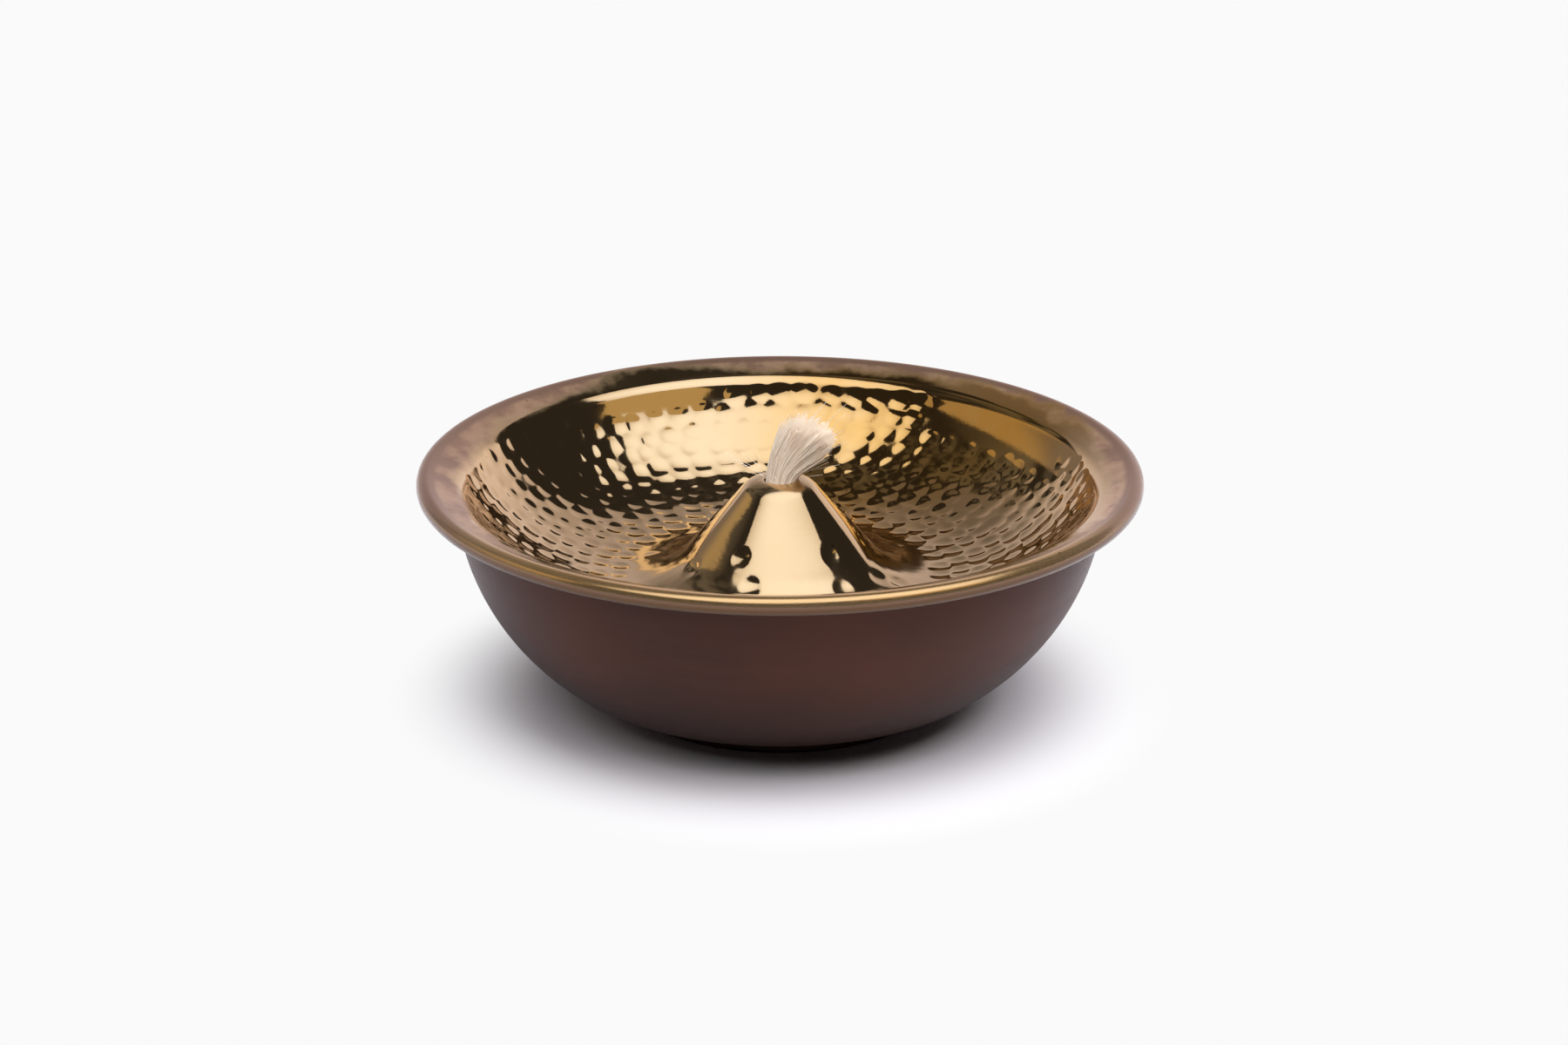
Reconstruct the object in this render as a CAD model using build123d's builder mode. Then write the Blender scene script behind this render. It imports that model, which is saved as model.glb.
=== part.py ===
"""Butter lamp of brass: a reservoir bowl on a foot ring, a lift-off hammered dish and a cotton wick.

The dish hangs in the mouth of the bowl by the shoulder under its flange. Its middle rises into a
cone, and the wick runs through the hole in the cone's crown down into the fuel in the bowl.
The origin is on the table, under the middle of the lamp, with +Z up. Lengths are in millimetres.
"""

import os
from math import atan2, copysign, cos, degrees, pi, radians, sin, sqrt, tan

from build123d import *

os.makedirs("parts", exist_ok=True)

# Bowl and foot
bowl_diameter = 107.5      # outside, at the level where the wall stands upright
bowl_wall = 1.0
heel_radius = 4.0          # outside bend between the floor and the wall
heel_slope = 33.0          # degrees from level at which the wall leaves the heel
foot_height = 4.8
foot_wall = 1.6
foot_taper = 0.9           # how much narrower the foot is at its top than on the table
foot_inset = 7.4           # from the end of the bowl's flat underside in to the foot
foot_round = 0.6

# Rim of the dish
rim_height = 40.0          # top of the rolled edge above the table
rim_overhang = 6.25        # beyond the outside of the bowl
bead_diameter = 3.2        # the rolled edge
bead_turn = 268.0          # degrees that the sheet is rolled under
flange_slope = 19.0        # degrees, rising outwards
shoulder_radius = 3.8      # bend between the flange and the inside wall
seat_angle = 54.0          # degrees from upright at which the shoulder rests on the bowl's lip

# Inside of the dish
dish_wall = 0.8
trough_diameter = 49.0     # ring at which the dish is deepest
trough_cone_radius = 12.0  # bend on the cone's side of the trough
fuel_space = 15.3          # under the trough, above the bowl's floor
crown_drop = 1.7           # crown of the cone below the top of the rim
crown_radius = 4.2         # rounding of the cone's top

# Wick
wick_diameter = 4.6
wick_stand = 1.0           # unfrayed part that shows above the crown
tuft_height = 8.8
tuft_spread = 10.8         # across the fanned fibres
tuft_depth = 6.0           # front to back
tuft_lean = 3.8            # sideways at the widest level
tuft_top_lean = 3.2        # sideways at the tip
tuft_widest = 0.64         # share of the height at which the fan is widest
tuft_tip = 0.45            # share of the spread that is left at the tip

# Clearances
seat_gap = 0.3             # dish shoulder over the bowl's lip
wick_gap = 0.3             # wick in its hole
wick_end_gap = 0.5         # wick's lower end over the bowl's floor

# Heights and radii that follow
bowl_radius = bowl_diameter / 2
bead_radius = bead_diameter / 2
bead_centre = Vector(bowl_radius + rim_overhang - bead_radius, rim_height - bead_radius)
floor_height = foot_height + bowl_wall
trough_height = floor_height + fuel_space + dish_wall
crown_height = rim_height - crown_drop
hole_radius = wick_diameter / 2 + wick_gap


def along(heading):
    """Unit vector in the section plane at a heading in degrees."""
    return Vector(cos(radians(heading)), sin(radians(heading)))


def tangent_run(span, rise, radii):
    """Slope in degrees and length of the straight run between two opposite bends.

    span and rise go from one bend's centre to the other's, and radii is the sum of their radii.
    """
    length = sqrt(span**2 + rise**2 - radii**2)
    slope = atan2(radii * span + length * rise, length * span - radii * rise)
    return degrees(slope), length


def reach_to_circle(start, direction, centre, radius):
    """Length along a direction from a point outside a circle to the circle."""
    offset = start - centre
    nearing = offset.dot(direction)
    return -nearing - sqrt(nearing**2 - offset.length**2 + radius**2)


def side_line(start, heading, moves, shift=0.0):
    """Draw straight runs (length, 0) and tangent bends (radius, turn), shifted to the right."""
    point = start + along(heading - 90) * shift
    for size, turn in moves:
        if turn == 0:
            edge = Line(point, point + along(heading) * size)
        else:
            edge = JernArc(point, along(heading), size + shift * copysign(1, turn), turn)
        point = edge @ 1
        heading += turn
    return point, heading


# The bowl's section follows its outside from the middle of the floor up to the lip. Its wall is one
# bend that would stand upright at the level of the rolled edge.
belly_level = bead_centre.Y
belly_radius = heel_radius + (belly_level - foot_height - heel_radius) / cos(radians(heel_slope))
belly_centre = Vector(bowl_radius - belly_radius, belly_level)
floor_radius = belly_centre.X + (belly_radius - heel_radius) * sin(radians(heel_slope))

# The shoulder of the dish sits on the lip, so the flange is as long as brings the two together.
lip_round = bowl_wall / 2
lip_reach = shoulder_radius - dish_wall - seat_gap - lip_round
lip_from_shoulder = along(90 + seat_angle) * lip_reach
inwards = along(flange_slope + 180)
flange_end = bead_centre + along(flange_slope + 90) * bead_radius
shoulder_track = flange_end + along(flange_slope - 90) * shoulder_radius
flange_length = reach_to_circle(
    shoulder_track + lip_from_shoulder, inwards, belly_centre, belly_radius - lip_round
)
shoulder_centre = shoulder_track + inwards * flange_length
lip_from_belly = shoulder_centre + lip_from_shoulder - belly_centre
lip_slope = 90 + degrees(atan2(lip_from_belly.Y, lip_from_belly.X))
bowl_moves = [
    (floor_radius, 0),
    (heel_radius, heel_slope),
    (belly_radius, lip_slope - heel_slope),
]

# The dish's wall is one bend from the bottom of the trough to the shoulder.
trough_ring = trough_diameter / 2
wall_span = shoulder_centre.X - trough_ring
wall_rise = shoulder_centre.Y + shoulder_radius - trough_height
bends_together = (wall_span**2 + wall_rise**2) / (2 * wall_rise)
wall_radius = bends_together - shoulder_radius
wall_slope = degrees(atan2(wall_span, bends_together - wall_rise))

# The dish's section follows its upper side from the wick hole out to the rolled edge.
crown_start = hole_radius + dish_wall / 2
cone_slope, cone_length = tangent_run(
    trough_ring - crown_start,
    crown_height - crown_radius - trough_height - trough_cone_radius,
    crown_radius + trough_cone_radius,
)
dish_moves = [
    (crown_radius, -cone_slope),
    (cone_length, 0),
    (trough_cone_radius, cone_slope),
    (wall_radius, wall_slope),
    (shoulder_radius, flange_slope - wall_slope),
    (flange_length, 0),
    (bead_radius, -bead_turn),
]

with BuildPart() as reservoir_bowl:
    with BuildSketch(Plane.XZ):
        with BuildLine():
            outside = Vector(0, foot_height)
            lip_outside, lip_heading = side_line(outside, 0, bowl_moves)
            side_line(outside, 0, bowl_moves, -bowl_wall)
            JernArc(lip_outside, along(lip_heading), lip_round, 180)
            Line(outside, (0, floor_height))
        make_face()
    revolve(axis=Axis.Z)
reservoir_bowl.part.label = "reservoir_bowl"
export_step(reservoir_bowl.part, "parts/reservoir_bowl.step")

with BuildPart() as foot_ring:
    foot_radius = floor_radius - foot_inset
    foot_top = foot_radius - foot_taper
    with BuildSketch(Plane.XZ) as foot_section:
        with BuildLine():
            Polyline(
                (foot_radius, 0),
                (foot_top, foot_height),
                (foot_top - foot_wall, foot_height),
                (foot_radius - foot_wall, 0),
                close=True,
            )
        make_face()
        fillet(foot_section.vertices().group_by(Axis.Y)[0], foot_round)
    revolve(axis=Axis.Z)
foot_ring.part.label = "foot_ring"
export_step(foot_ring.part, "parts/foot_ring.step")

with BuildPart() as hammered_dish:
    with BuildSketch(Plane.XZ):
        with BuildLine():
            hole_edge = Vector(crown_start, crown_height)
            under_edge = hole_edge - Vector(0, dish_wall)
            curl_end, curl_heading = side_line(hole_edge, 0, dish_moves)
            side_line(hole_edge, 0, dish_moves, dish_wall)
            JernArc(curl_end, along(curl_heading), dish_wall / 2, -180)
            JernArc(under_edge, along(180), dish_wall / 2, -180)
        make_face()
    revolve(axis=Axis.Z)
hammered_dish.part.label = "hammered_dish"
export_step(hammered_dish.part, "parts/hammered_dish.step")

# The wick hangs straight in its hole and bows a little below it.
bend_share = 0.45
wick_top = crown_height + wick_stand
wick_end = floor_height + wick_end_gap
wick_points = [
    (0.0, 0.0, wick_top),
    (0.0, 0.0, 28.4),
    (0.8, 0.4, 17.0),
    (0.3, -0.5, wick_end),
]


def bend_radii(points):
    """Radius at each inner point: the bend takes a share of the shorter run beside it."""
    radii = []
    for before, here, after in zip(points, points[1:], points[2:]):
        run_in = Vector(here) - Vector(before)
        run_out = Vector(after) - Vector(here)
        half_turn = radians(run_in.get_angle(run_out)) / 2
        radii.append(bend_share * min(run_in.length, run_out.length) / tan(half_turn))
    return radii


wick_radii = bend_radii(wick_points)
with BuildPart() as wick_cord:
    with BuildLine() as wick_path:
        FilletPolyline(*wick_points, radius=wick_radii)
    with BuildSketch(Plane(wick_path.line @ 0, z_dir=wick_path.line % 0)):
        Circle(wick_diameter / 2)
    sweep()
wick_cord.part.label = "wick_cord"
export_step(wick_cord.part, "parts/wick_cord.step")

wick_length = wick_path.wire().length
wick_volume = pi * (wick_diameter / 2) ** 2 * wick_length
print("wick bend radii", [round(radius, 1) for radius in wick_radii])
print("wick length", round(wick_length, 2), "volume ratio", round(wick_cord.part.volume / wick_volume, 4))

with BuildPart() as wick_tuft:
    with BuildSketch(Plane.XY.offset(wick_top)):
        Circle(wick_diameter / 2)
    with BuildSketch(Plane.XY.offset(wick_top + tuft_height * tuft_widest)):
        with Locations((tuft_lean, 0)):
            Ellipse(tuft_spread / 2, tuft_depth / 2)
    with BuildSketch(Plane.XY.offset(wick_top + tuft_height)):
        with Locations((tuft_top_lean, 0)):
            Ellipse(tuft_spread * tuft_tip / 2, tuft_depth * tuft_tip / 2)
    loft()
wick_tuft.part.label = "wick_tuft"
export_step(wick_tuft.part, "parts/wick_tuft.step")

crease = flange_end + inwards * flange_length
print("cone slope", round(cone_slope, 2), "wall slope", round(wall_slope, 2))
print("wall radius", round(wall_radius, 2), "trough height", round(trough_height, 2))
print("crease radius", round(crease.X, 2), "height", round(crease.Y, 2))
print("belly radius", round(belly_radius, 2), "floor radius", round(floor_radius, 2))
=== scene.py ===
# %% [markdown]
# # A butter lamp in hammered brass
# This lamp is a brown brass bowl that holds butter or oil, and a bright dish that hangs in its mouth.
# The middle of the dish rises into a cone, and a cotton wick comes up through the cone's crown.
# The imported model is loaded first. It is the frame that each piece below is fitted to, and its box is
# kept, so that the finished model can be compared with it at the end.

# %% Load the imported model
import random
from math import atan2, cos, degrees, hypot, pi, radians, sin

import bmesh
import bpy
from mathutils import Matrix, Vector, noise
from mathutils.kdtree import KDTree


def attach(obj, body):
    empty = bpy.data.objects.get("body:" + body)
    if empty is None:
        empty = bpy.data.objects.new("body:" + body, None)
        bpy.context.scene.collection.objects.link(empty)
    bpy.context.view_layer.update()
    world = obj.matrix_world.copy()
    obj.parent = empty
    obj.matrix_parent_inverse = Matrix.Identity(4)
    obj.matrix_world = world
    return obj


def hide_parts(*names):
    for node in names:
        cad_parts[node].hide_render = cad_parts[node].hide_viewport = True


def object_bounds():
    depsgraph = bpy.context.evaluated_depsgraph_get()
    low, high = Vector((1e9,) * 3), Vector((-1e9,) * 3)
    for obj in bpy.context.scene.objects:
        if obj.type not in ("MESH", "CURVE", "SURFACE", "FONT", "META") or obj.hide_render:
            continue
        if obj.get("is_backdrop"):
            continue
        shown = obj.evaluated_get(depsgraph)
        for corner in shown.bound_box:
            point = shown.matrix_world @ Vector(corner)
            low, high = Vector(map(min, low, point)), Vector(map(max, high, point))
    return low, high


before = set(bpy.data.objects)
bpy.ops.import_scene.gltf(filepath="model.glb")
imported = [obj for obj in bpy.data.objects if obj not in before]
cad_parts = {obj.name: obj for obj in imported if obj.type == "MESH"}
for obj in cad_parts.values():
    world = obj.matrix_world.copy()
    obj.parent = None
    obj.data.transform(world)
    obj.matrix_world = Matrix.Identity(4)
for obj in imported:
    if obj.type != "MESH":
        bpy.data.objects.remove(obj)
cad_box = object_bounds()
MM = 0.001

# %% [markdown]
# ## Camera
# The photograph looks a little down into the dish. The outline of the rim gives the angle of view, and
# its perspective gives the distance. A long lens at that distance keeps the ellipse of the rim right.


# %% Camera
def add_to_scene(item):
    """Link an object to the scene and give it back."""
    bpy.context.scene.collection.objects.link(item)
    return item


view_elevation = radians(20.8)
view_distance = 0.85
look_at = Vector((0, 0, 0.0234))
camera_data = bpy.data.cameras.new("photo_camera")
camera_data.sensor_width = 36
camera_data.lens = 117.4
camera_data.shift_x = 0.0025
camera_data.shift_y = 0.0256
camera = add_to_scene(bpy.data.objects.new("photo_camera", camera_data))
towards_camera = Vector((0, -cos(view_elevation), sin(view_elevation)))
camera.location = look_at + towards_camera * view_distance
camera.rotation_euler = (pi / 2 - view_elevation, 0, 0)
bpy.context.scene.camera = camera
print("camera at", [round(x, 3) for x in camera.location])

# %% [markdown]
# ## Helpers for pieces
# A piece is shaped in a bmesh, which becomes a smooth mesh object at the origin. Each piece then rides
# on a body of the imported model and stands for its solid, and takes its finish further down. A curve is
# turned into a mesh first, because the box of a thickened curve can reach far past what it shows.


# %% Turn a bmesh or a curve into a piece
def make_piece(name, mesh, body, node):
    """A smooth object from a bmesh, riding on a body and standing for a CAD node."""
    data = bpy.data.meshes.new(name)
    mesh.to_mesh(data)
    mesh.free()
    data.shade_smooth()
    return place_piece(bpy.data.objects.new(name, data), body, node)


def place_piece(piece, body, node):
    """Link a piece, let it ride on its body and hide the solid that it stands for."""
    add_to_scene(piece)
    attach(piece, body)
    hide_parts(node)
    return piece


def mesh_of_curve(curve):
    """The mesh of a curve, by way of an object that is removed again."""
    holder = add_to_scene(bpy.data.objects.new(curve.name, curve))
    data = bpy.data.meshes.new_from_object(holder)
    bpy.data.objects.remove(holder)
    return data


# %% [markdown]
# ## The wick's cord
# The wick is a loose twist of three cotton strands, 4.6 mm thick, that hangs from the crown of the cone
# down to just over the floor of the bowl. It could be three tubes wound round each other. One ring with
# three lobes, extruded along a line and turned a little at each step, gives the same twist as a single
# closed shape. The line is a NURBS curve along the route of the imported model.

# %% Route of the wick
wick_diameter = 4.6 * MM
wick_route = [(0, 0, 39.3), (0, 0, 28.4), (0.8, 0.4, 17.0), (0.3, -0.5, 6.3)]
route_curve = bpy.data.curves.new("wick_route", "CURVE")
route_curve.dimensions = "3D"
route_curve.resolution_u = 24
route_line = route_curve.splines.new("NURBS")
route_line.points.add(len(wick_route) - 1)
for control, place in zip(route_line.points, wick_route):
    control.co = (*(Vector(place) * MM), 1)
route_line.order_u = 3
route_line.use_endpoint_u = True
wick_line = [v.co.copy() for v in mesh_of_curve(route_curve).vertices]
wick_length = sum((b - a).length for a, b in zip(wick_line, wick_line[1:]))
print("wick line", len(wick_line), "points,", round(wick_length / MM, 2), "mm long")

# %% Twist of the wick
strand_count = 3
strand_lobe = 0.09
lobe_middle = 0.7
ring_radius = 0.47 * wick_diameter
ring_segments = 36
wick_turns = 3.0
wick_mesh = bmesh.new()
bmesh.ops.create_circle(wick_mesh, cap_ends=False, segments=ring_segments, radius=ring_radius)
for v in wick_mesh.verts:
    lobe = abs(cos(strand_count / 2 * atan2(v.co.y, v.co.x)))
    v.co *= 1 + strand_lobe * (lobe - lobe_middle)
bmesh.ops.translate(wick_mesh, verts=wick_mesh.verts, vec=wick_line[0])
ring_edges = list(wick_mesh.edges)
open_ends = [ring_edges]
for before, after in zip(wick_line, wick_line[1:]):
    made = bmesh.ops.extrude_edge_only(wick_mesh, edges=ring_edges)["geom"]
    ring = {g for g in made if isinstance(g, bmesh.types.BMVert)}
    ring_edges = [g for g in made if isinstance(g, bmesh.types.BMEdge) and set(g.verts) <= ring]
    bmesh.ops.translate(wick_mesh, verts=list(ring), vec=after - before)
    turn = 2 * pi * wick_turns * (after - before).length / wick_length
    bmesh.ops.rotate(wick_mesh, verts=list(ring), cent=after, matrix=Matrix.Rotation(turn, 3, "Z"))
open_ends.append(ring_edges)
for edges in open_ends:
    bmesh.ops.holes_fill(wick_mesh, edges=edges)
bmesh.ops.recalc_face_normals(wick_mesh, faces=wick_mesh.faces)
wick_cord = make_piece("wick_cord_twist", wick_mesh, "wick", "wick_cord")
print("wick twist", len(wick_cord.data.polygons), "faces")

# %% [markdown]
# ## Sections
# The bowl, its foot and the dish are turned or pressed round, so each is a section spun about the
# upright axis. A section line is walked from a starting vertex: straight runs are extruded and bends
# are spun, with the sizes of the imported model. Spinning hundreds of steps at once is slow, so a
# twelfth is spun first, and that sector is then copied round and welded.

# %% Walk a section line and spin it
weld_distance = 1e-7
same_place = 1e-6


def along(heading):
    """Unit vector in the XZ plane at a heading in degrees."""
    return Vector((cos(radians(heading)), 0, sin(radians(heading))))


def walk(mesh, start, heading, moves, shift=0.0):
    """Draw straight runs (length, 0, steps) and bends (radius, turn, steps), shifted to the right."""
    line = [mesh.verts.new(start + along(heading - 90) * shift)]
    for size, turn, steps in moves:
        side = 1 if turn > 0 else -1
        centre = line[-1].co + along(heading + 90 * side) * (size + shift * side)
        for _ in range(steps):
            if turn:
                made = bmesh.ops.spin(
                    mesh, geom=line[-1:], cent=centre, axis=(0, -1, 0), angle=radians(turn / steps), steps=1
                )
                line += [g for g in made["geom_last"] if isinstance(g, bmesh.types.BMVert)]
            else:
                line += bmesh.ops.extrude_vert_indiv(mesh, verts=line[-1:])["verts"]
                bmesh.ops.translate(mesh, verts=line[-1:], vec=along(heading) * size / steps)
        heading += turn
    return line, heading


def spin_round(mesh, segments, sectors=12):
    """Spin all that a bmesh holds about the upright axis: one sector first, then its copies."""
    sector = 2 * pi / sectors
    about = {"cent": (0, 0, 0), "axis": (0, 0, 1)}
    section = mesh.verts[:] + mesh.edges[:]
    bmesh.ops.spin(mesh, geom=section, angle=sector, steps=segments // sectors, **about)
    whole = mesh.verts[:] + mesh.edges[:] + mesh.faces[:]
    copies = {"angle": 2 * pi - sector, "steps": sectors - 1, "use_duplicate": True}
    bmesh.ops.spin(mesh, geom=whole, **copies, **about)
    bmesh.ops.remove_doubles(mesh, verts=mesh.verts, dist=weld_distance)


def add_to(whole, part):
    """Put the shape of one bmesh into another."""
    data = bpy.data.meshes.new("part")
    part.to_mesh(data)
    part.free()
    whole.from_mesh(data)
    bpy.data.meshes.remove(data)


def open_ring(mesh, point):
    """The open edges on the circle that a section point sweeps."""
    def on_circle(v):
        off_round = abs(hypot(v.co.x, v.co.y) - point.x)
        return off_round < same_place and abs(v.co.z - point.z) < same_place
    return [e for e in mesh.edges if e.is_boundary and all(on_circle(v) for v in e.verts)]


# %% [markdown]
# ## The dish
# The dish is one brass sheet. From the wick hole its section goes over the crown, down the cone,
# round the trough, up the wall, over the shoulder and the flange, and rolls under into an open curl.
# The wall carries the hammer marks, so its upper side gets the finest mesh. The cone, the rim and the
# underside need fewer segments. Each zone is spun by itself, and the rings where they meet are bridged.
# Radii and runs are those of the upper side, and slopes and turns are in degrees.

# %% Section of the dish
dish_wall = 0.8 * MM
crown_height = 38.3
hole_edge = Vector((3.0, 0, crown_height)) * MM
under_edge = hole_edge - Vector((0, 0, dish_wall))
crown_radius = 4.2 * MM
cone_slope = 49.42
cone_run = 14.137 * MM
trough_radius = 12.0 * MM
wall_radius = 32.236 * MM
wall_slope = 57.72
shoulder_radius = 3.8 * MM
shoulder_turn = -38.72
flange_run = 4.389 * MM
bead_radius = 1.6 * MM
bead_turn = -268
lip = (dish_wall / 2, -180, 8)
cone_moves = [(crown_radius, -cone_slope, 9), (cone_run, 0, 22), (trough_radius, cone_slope, 22)]
wall_moves = [(wall_radius, wall_slope, 84), (shoulder_radius, shoulder_turn, 8)]
rim_moves = [(flange_run, 0, 4), (bead_radius, bead_turn, 24)]
upper_moves = cone_moves + wall_moves + rim_moves
under_moves = [(size, turn, max(2, steps // 3)) for size, turn, steps in upper_moves]
cone_segments = 288
wall_segments = 696
rim_segments = 240
under_segments = 120


def zone(start, heading, moves, segments, shift=0.0, drop=()):
    """Spin one zone of the dish and give its mesh, its section points and where the section ends."""
    mesh = bmesh.new()
    line, heading = walk(mesh, start, heading, moves, shift)
    points = [v.co.copy() for v in line]
    for end in drop:
        mesh.verts.remove(line[end])
        del points[end]
    spin_round(mesh, segments)
    return mesh, points, heading


cone_mesh, cone_points, heading = zone(under_edge, 180, [lip, *cone_moves], cone_segments)
wall_mesh, wall_points, heading = zone(cone_points[-1], heading, wall_moves, wall_segments, drop=[0])
rim_mesh, rim_points, heading = zone(wall_points[-1], heading, [*rim_moves, lip], rim_segments, drop=[0])
under_mesh, under_points, heading = zone(hole_edge, 0, under_moves, under_segments, dish_wall, drop=[0, -1])
crease_radius = wall_points[-1].x
print("crease radius", round(crease_radius / MM, 2), "mm")

# %% Bridge the zones of the dish
dish_mesh = bmesh.new()
for part in (cone_mesh, wall_mesh, rim_mesh, under_mesh):
    add_to(dish_mesh, part)
seams = [
    (cone_points[-1], wall_points[0]),
    (wall_points[-1], rim_points[0]),
    (rim_points[-1], under_points[-1]),
    (under_points[0], cone_points[0]),
]
for seam in seams:
    edges = [e for point in seam for e in open_ring(dish_mesh, point)]
    bmesh.ops.bridge_loops(dish_mesh, edges=edges)
bmesh.ops.recalc_face_normals(dish_mesh, faces=dish_mesh.faces)
dish_mesh.normal_update()
triangles = sum(len(f.verts) - 2 for f in dish_mesh.faces)
print("dish", triangles, "triangles, open edges", sum(e.is_boundary for e in dish_mesh.edges))

# %% [markdown]
# ## Polish mask
# The upper side was polished and the underside was not. The two sides lie only a sheet apart, so height
# can't tell them apart, but the normals before hammering can. That is kept on the mesh as a number for
# each vertex, 1 on the upper side and 0 below, and the brass finish reads it.

# %% Paint the polish mask
polish = dish_mesh.verts.layers.float.new("polish")
for v in dish_mesh.verts:
    v[polish] = min(1.0, max(0.0, 0.5 + 2 * v.normal.z))
print("polished vertices", sum(v[polish] > 0.5 for v in dish_mesh.verts))

# %% [markdown]
# ## Hammer marks
# Each blow of the round hammer leaves a shallow round hollow. Bump would do for a dull metal, but a
# mirror shows each slope, so the hollows are real shape. The blows go round the wall in rows, each row
# set half a mark off from the last, and narrow ridges stand where the hollows meet. In three stretches
# the wall is left smooth under the rim, and at the left the blows are shallower. The cone has a broken
# ring of blows round its foot and a few stray ones above it.

# %% Sizes and places of the blows
mark_spacing = 4.2 * MM
row_spacing = 3.2 * MM
mark_radius = 11.5 * MM
mark_radius_range = (0.85, 1.2)
mark_depth = 0.165 * MM
mark_depth_range = (0.75, 1.2)
first_row = 3.9 * MM
row_count = 10
row_scatter = 0.2
# Stretches are in degrees from the right, the smooth ones with their depth below the rim.
shallow_stretch = (150, 262)
shallow_share = 0.7
smooth_stretches = [(20, 60, 9.6 * MM), (100, 136, 6.0 * MM), (186, 354, 5.0 * MM)]
cone_foot = 22.0 * MM
foot_share = 0.7
foot_scatter = 0.25
# Each stray blow has its angle in degrees and its distance from the axis in mm.
stray_blows = [(241, 13.4), (309, 13.4), (306, 17.6), (253, 16.2), (207, 16.2), (334, 17.7)]
stray_blows += [(341, 20.4), (20, 16.0), (58, 18.0), (96, 14.5), (131, 17.5), (168, 15.5)]
stray_radius = 8.5 * MM
stray_depth = 0.2 * MM
chance = random.Random(7)
print("rows", row_count, "and stray blows", len(stray_blows))


# %% Place the blows
def point_below(points, distance):
    """Point at a distance back from the end of a section line."""
    for outer, inner in zip(points[::-1], points[-2::-1]):
        run = (inner - outer).length
        if distance <= run:
            return outer.lerp(inner, distance / run)
        distance -= run
    return points[0]


def struck(angle, distance):
    """Whether the hammer reached so far up the wall at an angle."""
    turn = degrees(angle) % 360
    return all(distance > depth or not start < turn < end for start, end, depth in smooth_stretches)


def add_row(blows, point, phase, scatter, share=1.0, distance=1.0):
    """Blows round the circle of one section point, so far below the rim. Only a share is struck."""
    count = round(2 * pi * point.x / mark_spacing)
    for i in range(count):
        angle = 2 * pi * (i + phase + chance.uniform(-scatter, scatter)) / count
        place = Vector((point.x * cos(angle), point.x * sin(angle), point.z))
        place.z += chance.uniform(-scatter, scatter) * row_spacing
        radius = mark_radius * chance.uniform(*mark_radius_range)
        sink = mark_depth * chance.uniform(*mark_depth_range)
        if shallow_stretch[0] < degrees(angle) % 360 < shallow_stretch[1]:
            sink *= shallow_share
        if chance.random() < share and struck(angle, distance):
            blows.append((place, radius, sink))


blows = []
for row in range(row_count):
    row_distance = first_row + row * row_spacing
    point = point_below(wall_points, row_distance)
    add_row(blows, point, row / 2, row_scatter, distance=row_distance)
wall_blows = len(blows)
foot_point = min(cone_points, key=lambda p: abs(p.x - cone_foot))
add_row(blows, foot_point, 0, foot_scatter, share=foot_share)
past_the_crown = cone_points[len(cone_points) // 3:]
for turn, blow_distance in stray_blows:
    point = min(past_the_crown, key=lambda p: abs(p.x - blow_distance * MM))
    place = Vector((point.x * cos(radians(turn)), point.x * sin(radians(turn)), point.z))
    blows.append((place, stray_radius, stray_depth))
print("hammer blows", wall_blows, "on the wall,", len(blows) - wall_blows, "on the cone")

# %% [markdown]
# A vertex sinks to the deepest hollow that reaches it. A smooth minimum joins the hollows, so that the
# ridges are narrow but not sharp as a knife. A slow ripple under the marks keeps the wall and the cone
# from looking turned on a lathe, and fine streaks run outwards in the trough. The crown, the flange and
# the rolled edge stay smooth.

# %% How far the surface sinks
blow_tree = KDTree(len(blows))
for i, (place, radius, sink) in enumerate(blows):
    blow_tree.insert(place, i)
blow_tree.balance()
blows_near = 6
ridge_width = 0.012 * MM
wall_ripple = (13.0 * MM, 0.04 * MM)
cone_ripple = (7.5 * MM, 0.075 * MM)
streak_width = 1.6 * MM
streak_length = 9.0 * MM
streak_height = 0.022 * MM
streak_ring = (13.0 * MM, 20.0 * MM, 27.0 * MM)


def streaks(spot):
    """Fine radial streaks in the trough, strongest at its middle ring."""
    inner, middle, outer = streak_ring
    radius = hypot(spot.x, spot.y)
    near = (radius - inner) / (middle - inner) if radius < middle else (outer - radius) / (outer - middle)
    turn = atan2(spot.y, spot.x)
    grain = Vector((cos(turn), sin(turn), 0)) * middle / streak_width
    grain.z = radius / streak_length
    return streak_height * min(1.0, max(0.0, 2 * near)) * noise.noise(grain)


def smooth_min(a, b):
    """The lower of two values, blended where they are close."""
    near = max(ridge_width - abs(a - b), 0.0) / ridge_width
    return min(a, b) - near * near * ridge_width / 4


def hammered(spot):
    """How far a spot on the upper side moves along its normal."""
    level = 0.0
    for place, i, distance in blow_tree.find_n(spot, blows_near):
        _, radius, sink = blows[i]
        level = smooth_min(level, distance**2 / (2 * radius) - sink)
    wave, height = cone_ripple if hypot(spot.x, spot.y) < cone_foot else wall_ripple
    return level + height * noise.noise(spot / wave) + streaks(spot)


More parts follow.
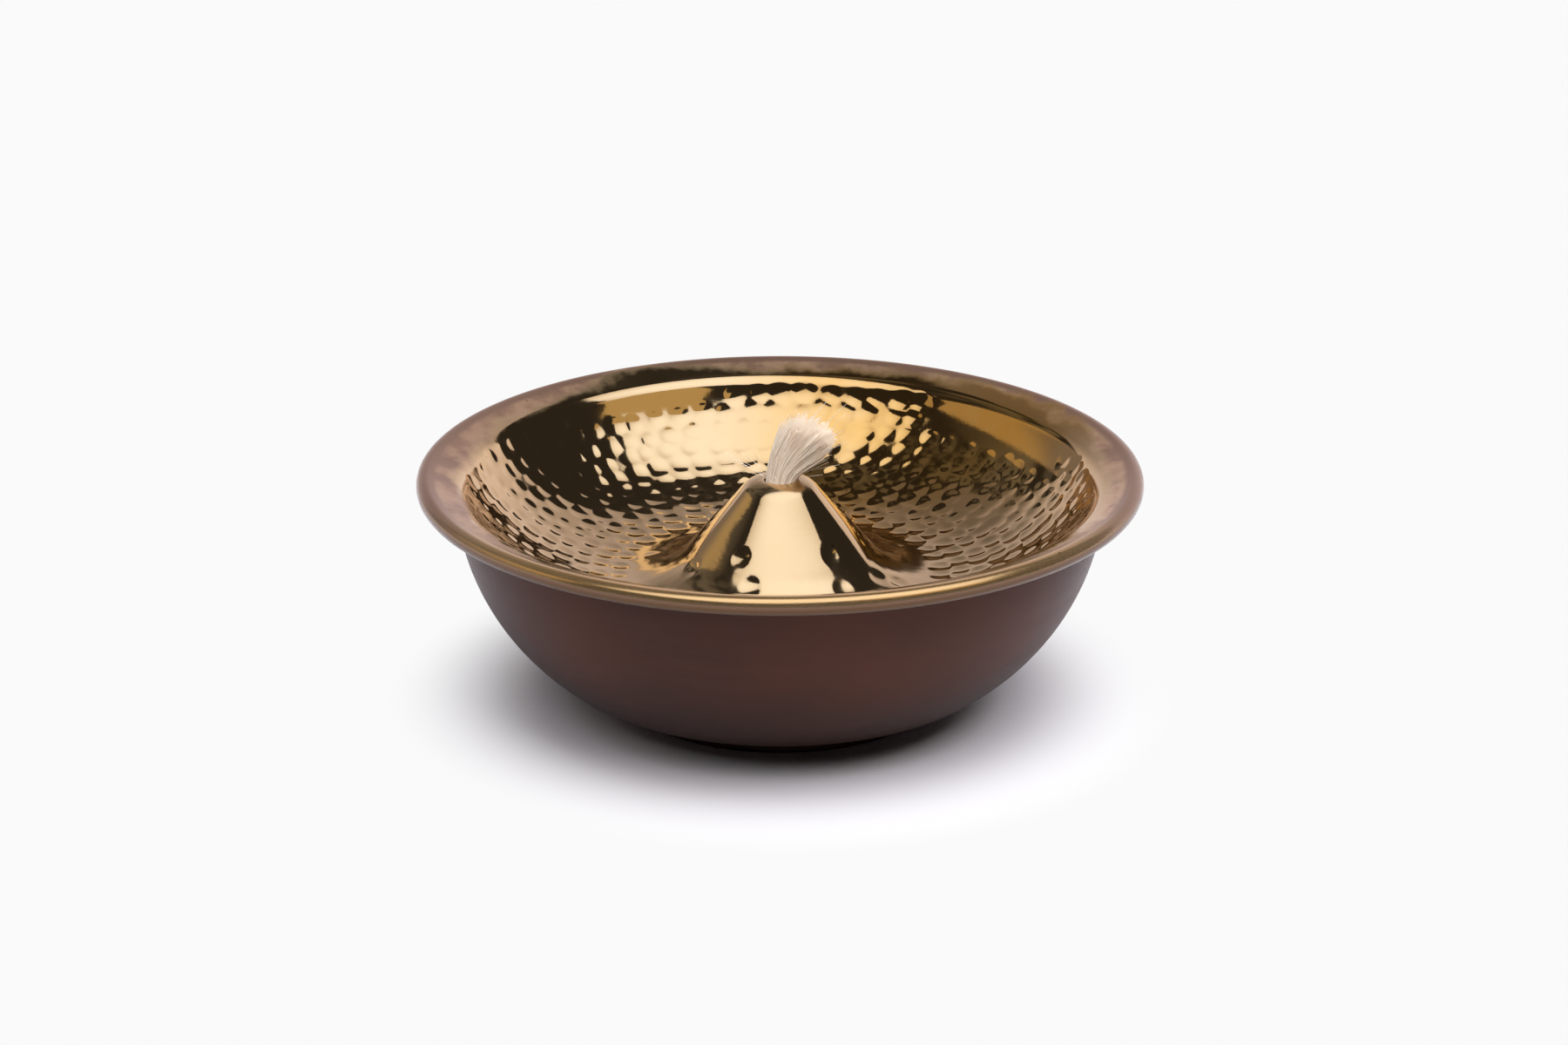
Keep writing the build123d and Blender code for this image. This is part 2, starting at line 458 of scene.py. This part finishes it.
# %% Sink the surface
upper_side_tilt = 0.2
crown_reach = 4.5 * MM
crown_ease = 3 * MM
crease_margin = 1.0 * MM
moves = {}
for v in dish_mesh.verts:
    radius = hypot(v.co.x, v.co.y)
    if v.normal.z > upper_side_tilt and crown_reach < radius < crease_radius - crease_margin:
        ease = min(1.0, (radius - crown_reach) / crown_ease)
        moves[v] = v.normal * hammered(v.co) * ease
for v, move in moves.items():
    v.co += move
deepest = max(move.length for move in moves.values())
print("hammered vertices", len(moves), "deepest", round(deepest / MM, 3), "mm")
dish = make_piece("hammered_dish_sheet", dish_mesh, "dish", "hammered_dish")

# %% [markdown]
# ## Bowl and foot
# The bowl is a spun shell with a rounded lip that the dish hides. A cup with a Solidify modifier would
# have a square lip, so the whole section is drawn: up the outside, over the lip and down the inside,
# with both ends on the axis.

# %% Bowl
bowl_wall = 1.0 * MM
foot_height = 4.8 * MM
floor_run = 33.679 * MM
heel_radius = 4.0 * MM
heel_slope = 33.0
belly_radius = 39.294 * MM
belly_turn = 53.73
bowl_segments = 264
bowl_start = Vector((0, 0, foot_height))
bowl_moves = [(floor_run, 0, 10), (heel_radius, heel_slope, 10), (belly_radius, belly_turn, 48)]
inner_moves = [(size, turn, steps // 2) for size, turn, steps in bowl_moves]
lip_weld = 0.01 * MM
bowl_mesh = bmesh.new()
outside, heading = walk(bowl_mesh, bowl_start, 0, [*bowl_moves, (bowl_wall / 2, 180, 8)])
inside, heading = walk(bowl_mesh, bowl_start, 0, inner_moves, -bowl_wall)
bmesh.ops.remove_doubles(bowl_mesh, verts=[outside[-1], inside[-1]], dist=lip_weld)
spin_round(bowl_mesh, bowl_segments)
bmesh.ops.recalc_face_normals(bowl_mesh, faces=bowl_mesh.faces)
print("bowl", len(bowl_mesh.faces), "faces, open edges", sum(e.is_boundary for e in bowl_mesh.edges))
bowl = make_piece("reservoir_bowl_shell", bowl_mesh, "bowl", "reservoir_bowl")

# %% [markdown]
# The foot is a low ring that tapers up to the bowl, with its lower edges rounded where it stands. Its
# four corners are joined, the lower two are bevelled, and the outline is spun.

# %% Foot
foot_radius = 26.28 * MM
foot_taper = 0.9 * MM
foot_wall = 1.6 * MM
foot_round = 0.6 * MM
foot_segments = 192
side_length = 2 * MM
foot_top = foot_radius - foot_taper
foot_mesh = bmesh.new()
foot_corners = [
    (foot_radius, 0),
    (foot_top, foot_height),
    (foot_top - foot_wall, foot_height),
    (foot_radius - foot_wall, 0),
]
corners = [foot_mesh.verts.new((x, 0, z)) for x, z in foot_corners]
for a, b in zip(corners, corners[1:] + corners[:1]):
    foot_mesh.edges.new((a, b))
bmesh.ops.bevel(
    foot_mesh,
    geom=[corners[0], corners[3]],
    offset=foot_round,
    segments=5,
    profile=0.5,
    affect="VERTICES",
    material=-1,
)
sides = [e for e in foot_mesh.edges if e.calc_length() > side_length]
bmesh.ops.subdivide_edges(foot_mesh, edges=sides, cuts=5)
spin_round(foot_mesh, foot_segments)
bmesh.ops.recalc_face_normals(foot_mesh, faces=foot_mesh.faces)
print("foot", len(foot_mesh.faces), "faces, open edges", sum(e.is_boundary for e in foot_mesh.edges))
foot = make_piece("foot_ring_band", foot_mesh, "bowl", "foot_ring")

# %% [markdown]
# ## The wick's tuft
# Above the crown the twist comes undone, and the fibres fan out to the right. A flared solid would look
# like plaster, so the tuft is many hundreds of fine tubes, each on a curve with its own bend and taper.
# There are thick locks so that it isn't see-through, fine fibres round them and a few stray ones. Each
# starts in the hole and bends out to its own place on the rim of the fan. Lengths are in mm here.

# %% Shape of the fan
hole_reach = 2.5
root_depth = 1.5
root_crowding = 0.4
fan_tips = [(0.2, 47.6), (2.9, 48.3), (5.4, 47.8), (7.6, 46.8), (8.8, 45.0), (7.8, 43.0)]
fan_depth = 1.3
fibre_rise = (0, 0.32, 0.68, 1.0)
fibre_spread = (0, 0.07, 0.52, 1.0)
tuft_curve = bpy.data.curves.new("tuft_fibres", "CURVE")
tuft_curve.dimensions = "3D"
tuft_curve.bevel_depth = MM
tuft_curve.bevel_resolution = 0
tuft_curve.resolution_u = 3
tuft_curve.use_fill_caps = True


def fan_tip(share):
    """Place on the rim of the fan, from 0 at its left end to 1 at its right."""
    at = min(0.999, max(0.0, share)) * (len(fan_tips) - 1)
    left, right = fan_tips[int(at)], fan_tips[int(at) + 1]
    return Vector((left[0], 0, left[1])).lerp(Vector((right[0], 0, right[1])), at % 1)


print("fan from", fan_tips[0], "to", fan_tips[-1])


# %% Fibres of the tuft
def add_fibre(root, tip, thickness, taper, wave):
    """One fibre from its root in the hole to its tip, thinner at the end."""
    line = tuft_curve.splines.new("NURBS")
    line.points.add(len(fibre_rise) - 1)
    for control, rise, spread in zip(line.points, fibre_rise, fibre_spread):
        place = root.lerp(tip, spread)
        place.z = root.z + (tip.z - root.z) * rise
        place += Vector((chance.gauss(0, wave), chance.gauss(0, wave), 0)) * rise
        control.co = (*(place * MM), 1)
        control.radius = thickness / 2 * (1 - (1 - taper) * rise**2)
    line.order_u = 3
    line.use_endpoint_u = True


def add_fibres(count, thickness, taper, scatter, reach_share):
    """Fibres rooted all over the hole, each reaching a share of the way to its place in the fan."""
    for _ in range(count):
        angle = chance.uniform(0, 2 * pi)
        reach = chance.random() ** root_crowding * (hole_reach - thickness / 2)
        root = Vector((reach * cos(angle), reach * sin(angle), crown_height - root_depth))
        tip = fan_tip(0.5 + 0.5 * root.x / hole_reach + chance.gauss(0, scatter))
        tip.y = root.y * fan_depth + chance.gauss(0, 3 * scatter)
        length = reach_share + chance.gauss(0, scatter)
        add_fibre(root, root.lerp(tip, length), thickness, taper, 2 * scatter)


add_fibres(count=90, thickness=0.85, taper=0.7, scatter=0.03, reach_share=0.9)
add_fibres(count=1300, thickness=0.13, taper=0.4, scatter=0.06, reach_share=0.97)
add_fibres(count=60, thickness=0.07, taper=0.7, scatter=0.16, reach_share=1.02)
side_strays = 26
for _ in range(side_strays):
    root = Vector((chance.uniform(-1.5, 2.2), chance.uniform(-1, 1), crown_height - 1))
    side = 1 if root.x > -0.8 else -1
    sideways = side * chance.uniform(3.5, 9.0)
    tip = Vector((sideways, chance.uniform(-3, 3), crown_height + chance.uniform(1.5, 5)))
    add_fibre(root, tip, thickness=0.06, taper=0.7, wave=0.5)
tuft_data = mesh_of_curve(tuft_curve)
tuft_data.shade_smooth()
tuft = place_piece(bpy.data.objects.new("wick_tuft_fibres", tuft_data), "wick", "wick_tuft")
print("fibres", len(tuft_curve.splines), "faces", len(tuft_data.polygons))

# %% [markdown]
# The ends of the cord's line, at the crown and just over the floor of the bowl, are printed.

print("cord from", [round(x / MM, 1) for x in wick_line[0]], "to", [round(x / MM, 1) for x in wick_line[-1]])

# %% [markdown]
# ## Shader sums
# The finishes below are worked out as sums of noises and masks. Written node by node they would be hard
# to read. This small class wraps a shader socket so that plain Python operators add the Math nodes, and
# one method adds any other node. The operator | gives the larger of two values, which joins two masks.


# %% A socket that can be used in sums
class Field:
    """A shader socket that takes part in sums. Numbers join in as constants."""

    def __init__(self, tree, socket=None):
        self.tree = tree
        self.socket = socket

    def add(self, kind, settings=None, sockets=None, out=0):
        """Add a node of a kind with its settings and sockets, and give one of its outputs."""
        node = self.tree.nodes.new(kind)
        for name, value in (settings or {}).items():
            setattr(node, name, value)
        for name, value in (sockets or {}).items():
            if isinstance(value, Field):
                self.tree.links.new(value.socket, node.inputs[name])
            else:
                node.inputs[name].default_value = value
        return Field(self.tree, node.outputs[out])

    def sum(self, operation, first, second):
        """A Math node on two values."""
        return self.add("ShaderNodeMath", {"operation": operation}, {0: first, 1: second})

    def __add__(self, other):
        return self.sum("ADD", self, other)

    def __sub__(self, other):
        return self.sum("SUBTRACT", self, other)

    def __rsub__(self, other):
        return self.sum("SUBTRACT", other, self)

    def __mul__(self, other):
        return self.sum("MULTIPLY", self, other)

    def __truediv__(self, other):
        return self.sum("DIVIDE", self, other)

    def __or__(self, other):
        return self.sum("MAXIMUM", self, other)

    __radd__ = __add__
    __rmul__ = __mul__

    def step(self, low, high, to_low=0.0, to_high=1.0):
        """Smooth change from one value to another between two limits."""
        return self.add(
            "ShaderNodeMapRange",
            {"interpolation_type": "SMOOTHSTEP"},
            {"Value": self, "From Min": low, "From Max": high, "To Min": to_low, "To Max": to_high},
        )

    def mix(self, low, high):
        """Colour from low where this field is 0 to high where it is 1."""
        return self.add("ShaderNodeMix", {"data_type": "RGBA"}, {0: self, 6: low, 7: high}, out=2)

    def scaled(self, scale):
        """This vector with its axes stretched."""
        return self.add("ShaderNodeMapping", None, {"Vector": self, "Scale": scale})

    def noise(self, scale, detail=3.0, roughness=0.55):
        """Noise on this vector, from 0 to 1."""
        sockets = {"Vector": self, "Scale": scale, "Detail": detail, "Roughness": roughness}
        return self.add("ShaderNodeTexNoise", None, sockets)

    def axis(self, name):
        """One axis of this vector."""
        return self.add("ShaderNodeSeparateXYZ", None, {0: self}, out=name)

    def dot(self, other):
        """Dot product of this vector and a constant one."""
        settings = {"operation": "DOT_PRODUCT"}
        return self.add("ShaderNodeVectorMath", settings, {0: self, 1: other}, out="Value")

    def length(self):
        """Length of this vector."""
        return self.add("ShaderNodeVectorMath", {"operation": "LENGTH"}, {0: self}, out="Value")


# %% Helpers for finishes
def rgb(red, green, blue):
    """A colour with full alpha."""
    return (red, green, blue, 1.0)


def new_finish(name, **constants):
    """A material with one Principled shader, the place field that its patterns read, and the shader."""
    material = bpy.data.materials.new(name)
    material.use_nodes = True
    tree = material.node_tree
    shader = next(n for n in tree.nodes if n.type == "BSDF_PRINCIPLED")
    for socket, value in constants.items():
        shader.inputs[socket.replace("_", " ")].default_value = value
    place = Field(tree).add("ShaderNodeTexCoord", out="Object")
    return material, place, shader


def feed(shader, **fields):
    """Link fields to the sockets of a shader."""
    for socket, field in fields.items():
        field.tree.links.new(field.socket, shader.inputs[socket.replace("_", " ")])


def bump(height, strength, distance):
    """Normal from a height field."""
    sockets = {"Height": height, "Strength": strength, "Distance": distance}
    return height.add("ShaderNodeBump", None, sockets)


def dress(material, *pieces):
    """Give a finish to pieces, and tell how many nodes it has."""
    for piece in pieces:
        piece.data.materials.append(material)
    print(material.name, "on", [piece.name for piece in pieces], len(material.node_tree.nodes), "nodes")


# %% [markdown]
# ## Brass of the dish
# Inside, the brass is polished like a mirror, with faint smudges and tiny pits. It has yellowed to the
# right at the back, and is duller in the trough and on the crown. Towards the rolled edge it turns
# satin, and handling has tarnished it to a pinkish brown, further in at the left and right. The front
# of the roll is worn bright again. Its lower side is painted nearly black, a painted shade where the
# roll faces down, laid over the tarnish. The underside was never polished. All this is one material
# with masks, because on the real sheet one state runs into the next. Places in the masks are in metres.

# %% Where the dish is polished, tarnished and worn
brass, place, shader = new_finish("hammered_brass")
upper_side = place.add("ShaderNodeAttribute", {"attribute_name": "polish"}, out="Fac")
cloud = place.noise(70, 4.0, 0.6)
mottle = place.noise(240, 5.0, 0.65)
radius = place.scaled((1, 1, 0)).length()
height = place.axis("Z")
left_side = place.axis("X").step(-0.056, -0.030, 1.0, 0.0)
right_side = place.axis("X").step(0.040, 0.056, 0.0, 0.35)
handled = left_side + right_side
wander = (place.noise(85, 4.0) - 0.5) * 0.012
rim = (radius + wander + handled * 0.0034).step(0.0545, 0.0575)
roll = radius.step(0.0565, 0.0575)
front = place.axis("Y").step(-0.050, -0.015, 1.0, 0.0)
worn = roll * height.step(0.0386, 0.0391) * front
satin = rim * (1 - worn * 0.75) | (1 - upper_side)
right_back = place.axis("X").step(-0.012, 0.010) * place.axis("Y").step(0.008, 0.032)
yellowed = right_back * cloud.step(0.2, 0.6, 0.5, 1.0)
print("masks of the dish", len(brass.node_tree.nodes), "nodes")

# %% Colour of the brass
bright = cloud.mix(rgb(0.85, 0.625, 0.36), rgb(0.80, 0.57, 0.30))
bright = yellowed.mix(bright, rgb(0.79, 0.47, 0.15))
bright = worn.mix(bright, rgb(0.95, 0.62, 0.27))
patches = place.noise(130, 5.0, 0.6).step(0.38, 0.62)
tarnish_with_roll_shade = patches.mix(rgb(0.62, 0.40, 0.25), rgb(0.34, 0.20, 0.135))
tarnish_with_roll_shade = (handled * 0.35).mix(tarnish_with_roll_shade, rgb(0.25, 0.14, 0.10))
# Painted shade: the lower side of the roll is painted near black where it faces down. Its upper side keeps
# the pinkish brown tarnish.
roll_tarnish_and_shade = height.step(0.0380, 0.0394).mix(rgb(0.085, 0.045, 0.02), rgb(0.30, 0.18, 0.125))
tarnish_with_roll_shade = roll.mix(tarnish_with_roll_shade, roll_tarnish_and_shade)
colour = satin.mix(bright, tarnish_with_roll_shade)
pits = place.add("ShaderNodeTexVoronoi", {"feature": "F1"}, {"Vector": place, "Scale": 210.0})
pit = pits.step(0.035, 0.06, 1.0, 0.0) * place.noise(90).step(0.5, 0.6)
colour = (pit * 0.8).mix(colour, rgb(0.10, 0.06, 0.03))
feed(shader, Base_Color=colour, Metallic=1 - satin * 0.25)
print("colour of the dish", len(brass.node_tree.nodes), "nodes")

# %% Polish and scratches of the brass
smudge = place.scaled((1, 1, 0.5)).noise(160, 3.0, 0.6).step(0.45, 0.75)
dull = radius.step(0.013, 0.018) * radius.step(0.022, 0.027, 1.0, 0.0)
crown = radius.step(0.0050, 0.0066, 1.0, 0.0)
polished = 0.055 + smudge * 0.05 + dull * 0.05 + worn * 0.13 + crown * 0.14
roughness = polished * (1 - satin) + (0.17 + mottle * 0.16) * satin
scratched_along = place.scaled((0.12, 1, 1)).noise(1500, 2.0, 0.5)
scratched_across = place.scaled((1, 0.12, 1)).noise(1500, 2.0, 0.5)
feed(shader, Roughness=roughness, Normal=bump(scratched_along + scratched_across, 0.02, 0.0002))
dress(brass, dish)

# %% [markdown]
# ## Patina of the bowl
# The outside of the bowl is brown and satin, with faint level streaks from the lathe and a redder
# tone where it has been rubbed. Towards the foot it is painted darker, a painted shade for the shadow
# near the floor, and the foot, which has the same finish, gets the darkest of it. The patina
# hides the metal, so it is a plain dark coat with a weak shine and not a metal.

# %% Patina finish
patina, place, shader = new_finish("patinated_brass", Metallic=0.0, Specular_IOR_Level=0.12)
streak = place.scaled((0.15, 0.15, 9.0)).noise(55, 4.0, 0.6)
cloud = place.noise(22, 4.0, 0.55)
brown = streak.step(0.3, 0.7).mix(rgb(0.036, 0.013, 0.0075), rgb(0.045, 0.016, 0.009))
colour = cloud.step(0.35, 0.7).mix(brown, rgb(0.058, 0.018, 0.008))
# Painted shade: the bowl is painted darker towards the foot, and the foot darkest, where shade falls near
# the floor.
low = place.axis("Z").step(0.007, 0.024, 0.75, 0.0)
colour = low.mix(colour, rgb(0.014, 0.005, 0.003))
roughness = 0.34 + streak * 0.12
feed(shader, Base_Color=colour, Roughness=roughness, Normal=bump(streak, 0.04, 0.0004))
dress(patina, bowl, foot)

# %% [markdown]
# ## Cotton
# Cotton is matt and a warm white, warmer in patches that a noise lays out. Part of that warmth is
# painted light, the warm glow that the brass throws on the wick. A sheen stands for the fuzz that is
# too fine to model.

# %% Cotton finish
cotton, place, shader = new_finish("cotton", Roughness=0.9, Sheen_Weight=0.25, Sheen_Roughness=0.4)
lock = place.scaled((1, 1, 0.25)).noise(420, 3.0, 0.6)
# Painted light in part: the warm tints stand for warm light thrown from the brass onto the cotton.
colour = lock.step(0.3, 0.7).mix(rgb(0.97, 0.82, 0.67), rgb(1.0, 0.90, 0.78))
feed(shader, Base_Color=colour, Normal=bump(lock, 0.15, 0.0003))
dress(cotton, wick_cord, tuft)

# %% [markdown]
# ## Floor
# The lamp stands on a white floor. Near the lamp the floor is matt with a faint lilac tone, so that it
# keeps the soft shadow. A matt floor alone would grow darker with distance, so further out it turns to
# even white, both for the camera and for the mirror of the dish.

# %% Floor
floor_mesh = bmesh.new()
bmesh.ops.create_grid(floor_mesh, x_segments=1, y_segments=1, size=6.0)
floor_data = bpy.data.meshes.new("floor")
floor_mesh.to_mesh(floor_data)
floor_mesh.free()
floor = add_to_scene(bpy.data.objects.new("floor", floor_data))
floor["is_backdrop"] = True
print("floor", [round(x, 1) for x in floor.dimensions], "m")

# %% Floor finish
backdrop_white = rgb(0.955, 0.955, 0.955)
matt_floor, place, shader = new_finish("white_floor", Roughness=1.0, Specular_IOR_Level=0.0)
shader.inputs["Base Color"].default_value = rgb(0.82, 0.795, 0.845)
tree = matt_floor.node_tree
ray = Field(tree)
distance = place.length()
glossy = ray.add("ShaderNodeLightPath", out="Is Glossy Ray")
mirrored = glossy | ray.add("ShaderNodeLightPath", out="Is Transmission Ray")
plain = ray.add("ShaderNodeLightPath", out="Is Camera Ray") * distance.step(0.038, 0.068)
plain = plain | mirrored * distance.step(0.12, 0.40)
even_white = ray.add("ShaderNodeEmission", None, {"Color": backdrop_white})
blend = ray.add("ShaderNodeMixShader", None, {0: plain, 2: even_white})
tree.links.new(shader.outputs[0], blend.socket.node.inputs[1])
output = next(n for n in tree.nodes if n.type == "OUTPUT_MATERIAL")
tree.links.new(blend.socket, output.inputs["Surface"])
dress(matt_floor, floor)

# %% [markdown]
# ## Studio
# A mirror shows the room, so the room is what gives this dish its look. One large square softbox hangs
# over the lamp, turned a little and nearer to the right, with a golden reflector beyond it. A pale
# screen stands behind, a warm wall is to the left, and the rest is dark with a faint uneven glow at the
# back left. Real panels would also shade the floor, so the world shader draws them by direction.

# %% Directions in the studio
world = bpy.data.worlds.new("studio")
bpy.context.scene.world = world
world.use_nodes = True
tree = world.node_tree
backdrop = next(n for n in tree.nodes if n.type == "BACKGROUND")
direction = Field(tree).add("ShaderNodeTexCoord", out="Generated")
east = direction.axis("X")
north = direction.axis("Y")
up = direction.axis("Z")
across = east / (up | 0.05)
onward = north / (up | 0.05)
blur = 0.02
long_side = (0.475, -0.880)
cross_side = (0.766, 0.643)


def on_ceiling(side, way=1):
    """How far along a side of the softbox a direction meets the ceiling, or the other way for -1."""
    to_east, to_north = side
    return across * (way * to_east) + onward * (way * to_north)


def beyond(side, limit, way=1):
    """1 past an edge that lies across a side of the softbox, in the plane of the ceiling."""
    return on_ceiling(side, way).step(limit - blur, limit + blur)


def past(x, y, z):
    """1 on one side of a straight edge of a wall."""
    return direction.dot((x, y, z)).step(-blur / 2, blur / 2)


print("directions", len(tree.nodes), "nodes")

# %% Where each thing stands in the studio
softbox = beyond(long_side, -0.20) * beyond(long_side, -0.745, way=-1)
softbox = softbox * beyond(cross_side, -0.835) * beyond(cross_side, -0.70, way=-1)
reflector = beyond((1, 0), 0.51) * beyond(long_side, -1.15, way=-1) * beyond(long_side, 0.68)
reflector = reflector * beyond(cross_side, -0.82, way=-1) * up.step(0, 0.1)
screen = past(-0.19, 0.42, -0.374) * past(0.77, 0.64, 0)
warm_wall = past(-0.451, -0.187, -0.557) * past(-0.31, 0.95, 0)
glow = east.step(-0.35, 0.30, 1.0, 0.0) * north.step(-0.25, 0.65)
print("outlines", len(tree.nodes), "nodes")

# %% Tones of the studio
low_screen = east.step(-0.3, 0.35).mix(rgb(0.66, 0.59, 0.625), rgb(0.86, 0.775, 0.83))
high_screen = east.step(-0.3, 0.35).mix(rgb(0.17, 0.153, 0.157), rgb(0.42, 0.378, 0.405))
screen_grey = up.step(0.05, 0.65).mix(low_screen, high_screen)
wall_tone = up.step(0.28, 0.48).mix(rgb(0.22, 0.19, 0.18), rgb(0.42, 0.33, 0.20))
uneven = direction.noise(4.5, 1.0).step(0.42, 0.62)
room = (glow * uneven).mix(rgb(0.028, 0.025, 0.023), rgb(0.16, 0.15, 0.14))
room = warm_wall.mix(room, wall_tone)
room = screen.mix(room, screen_grey)
room = reflector.mix(room, rgb(0.52, 0.39, 0.20))
# The softbox is brightest in its middle. These give the way from there as a share of half its width.
long_way = (on_ceiling(long_side) - 0.27) / 0.47
cross_way = (on_ceiling(cross_side) + 0.07) / 0.77
fall = (long_way * long_way + cross_way * cross_way).step(0.0, 2.0)
room = softbox.mix(room, fall.mix(rgb(1.26, 1.32, 1.50), rgb(0.78, 0.74, 0.74)))
seen = Field(tree).add("ShaderNodeLightPath", out="Is Camera Ray")
room = seen.mix(room, backdrop_white)
tree.links.new(room.socket, backdrop.inputs["Color"])
bpy.context.scene.view_settings.view_transform = "Standard"
print("studio", len(tree.nodes), "nodes")

# %% [markdown]
# The softbox in the world is only as bright as its mirror image. An area lamp in about the same place
# adds the rest of its light for the floor, the bowl and the cotton, and a weaker lamp in front fills the
# near side of the bowl. Both are hidden from reflections, where the drawn studio shows instead.


# %% Lamps
def add_lamp(name, place, size, energy):
    """A square area lamp that shines on the origin and shows neither in mirrors nor to the camera."""
    data = bpy.data.lights.new(name, "AREA")
    data.shape = "SQUARE"
    data.size = size
    data.energy = energy
    lamp = add_to_scene(bpy.data.objects.new(name, data))
    lamp.location = place
    lamp.rotation_euler = Vector(place).to_track_quat("Z", "Y").to_euler()
    lamp.visible_glossy = False
    lamp.visible_camera = False
    print(name, energy, "W at", place)


add_lamp("softbox_lamp", (0.16, -0.14, 0.62), size=0.75, energy=7.4)
add_lamp("front_fill", (-0.3, -0.5, 0.75), size=0.6, energy=2.8)

# %% [markdown]
# ## Size
# The looks must not change the size of the part, so the box of the imported model and the box of what is
# shown are written side by side.

# %% Print the two boxes and finish
shown_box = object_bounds()
for name, box in (("cad", cad_box), ("visual", shown_box)):
    print(name, [[round(x / MM, 2) for x in corner] for corner in box])
